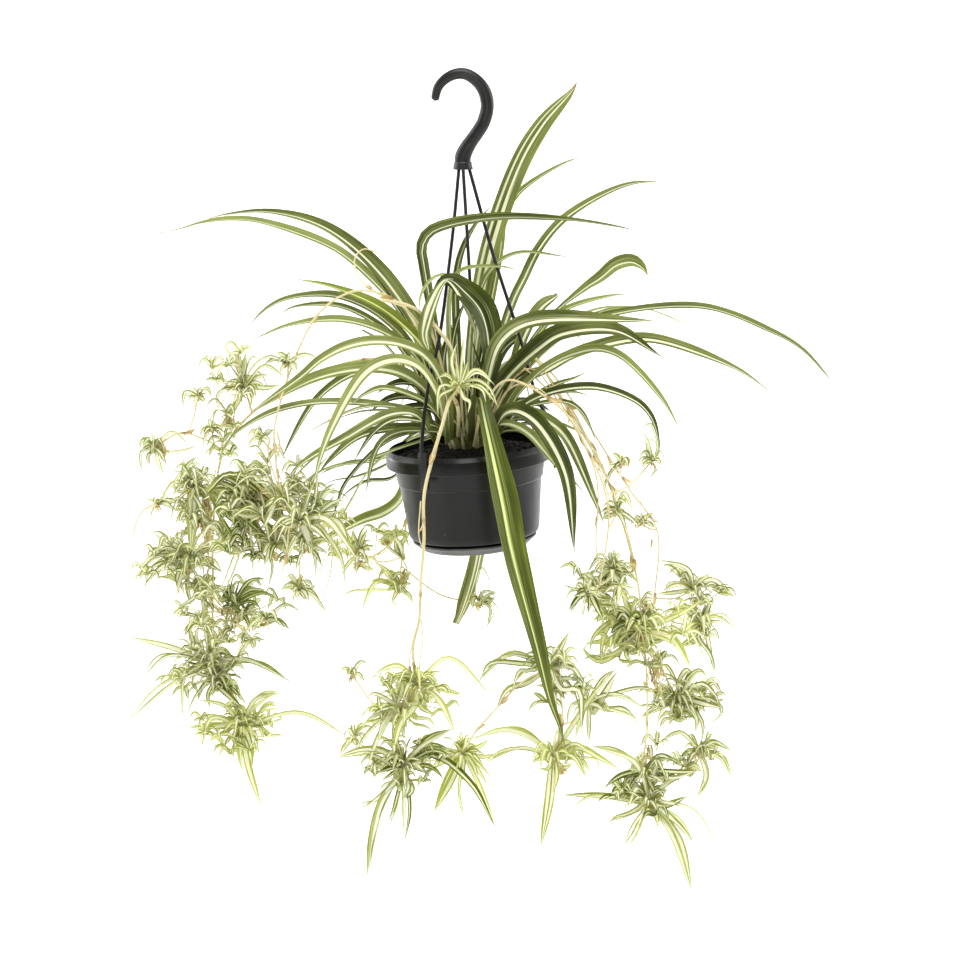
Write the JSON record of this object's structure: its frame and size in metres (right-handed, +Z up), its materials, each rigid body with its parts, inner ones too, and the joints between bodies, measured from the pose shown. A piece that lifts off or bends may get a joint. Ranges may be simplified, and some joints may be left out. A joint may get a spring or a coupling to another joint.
{
  "type": "potted spider plant",
  "caption": "Variegated spider plant in a round hanging pot: arching striped leaves, trailing runners with plantlets, an open hook on thin wire legs and a shallow clip-on saucer.",
  "frame": {"origin": "inner crown of the hanger's hook, the point that rests on the rail or hook it hangs from", "axes": "+Z up, +X to the right and +Y away from the viewer when the plant is seen from its front, as in the picture"},
  "size_m": [0.6586, 0.2815, 0.7444],
  "materials": {
    "hanger_plastic": "satin anthracite plastic",
    "pot_plastic": "satin anthracite plastic, faintly scuffed",
    "potting_soil": "moist crumbly potting mix",
    "crown": "fleshy leaf bases, olive to brown",
    "leaf": "living leaf, green margins and a cream centre stripe, soft sheen",
    "runner": "smooth cream to tan stem",
    "plantlet": "young leaf, pale yellow-green, soft sheen"
  },
  "bodies": {
    "root": {"hanger_hook": "hanger_plastic", "hanger_leg_left": "hanger_plastic", "hanger_leg_right": "hanger_plastic", "hanger_leg_rear": "hanger_plastic", "pot": "pot_plastic", "saucer": "pot_plastic", "potting_soil": "potting_soil", "plant_crown": "crown", "runner_front": "runner", "runner_right_front": "runner", "runner_right_middle": "runner", "runner_left_front": "runner", "runner_left_rear": "runner", "runner_rear": "runner", "runner_centre": "runner", "leaf_tall": "leaf", "leaf_bent_over": "leaf", "leaf_high_right": "leaf", "leaf_folded_centre": "leaf", "leaf_curled_tip": "leaf", "leaf_long_right": "leaf", "leaf_white_striped": "leaf", "leaf_broad_right": "leaf", "leaf_right_low": "leaf", "leaf_right_arch": "leaf", "leaf_right_hoop": "leaf", "leaf_over_rim": "leaf", "leaf_over_rim_outer": "leaf", "leaf_front_large": "leaf", "leaf_behind_pot": "leaf", "leaf_far_left": "leaf", "leaf_left_crest": "leaf", "leaf_left_yellow": "leaf", "leaf_left_middle": "leaf", "leaf_left_arch": "leaf", "leaf_left_broad": "leaf", "leaf_left_droop": "leaf", "leaf_left_long": "leaf", "leaf_left_back": "leaf", "leaf_left_low": "leaf", "leaf_rear_left": "leaf", "leaf_rear_high": "leaf", "leaf_rear_arch": "leaf", "plantlet_crown": "plantlet", "plantlet_left_top": "plantlet", "plantlet_left_outer": "plantlet", "plantlet_left_upper": "plantlet", "plantlet_left_dense": "plantlet", "plantlet_left_inner": "plantlet", "plantlet_left_middle": "plantlet", "plantlet_left_lower": "plantlet", "plantlet_left_bottom": "plantlet", "plantlet_front": "plantlet", "plantlet_front_low": "plantlet", "plantlet_front_right": "plantlet", "plantlet_centre": "plantlet", "plantlet_centre_low": "plantlet", "plantlet_right_dense": "plantlet", "plantlet_right_lower": "plantlet", "plantlet_right_bottom": "plantlet"}
  },
  "joints": []
}
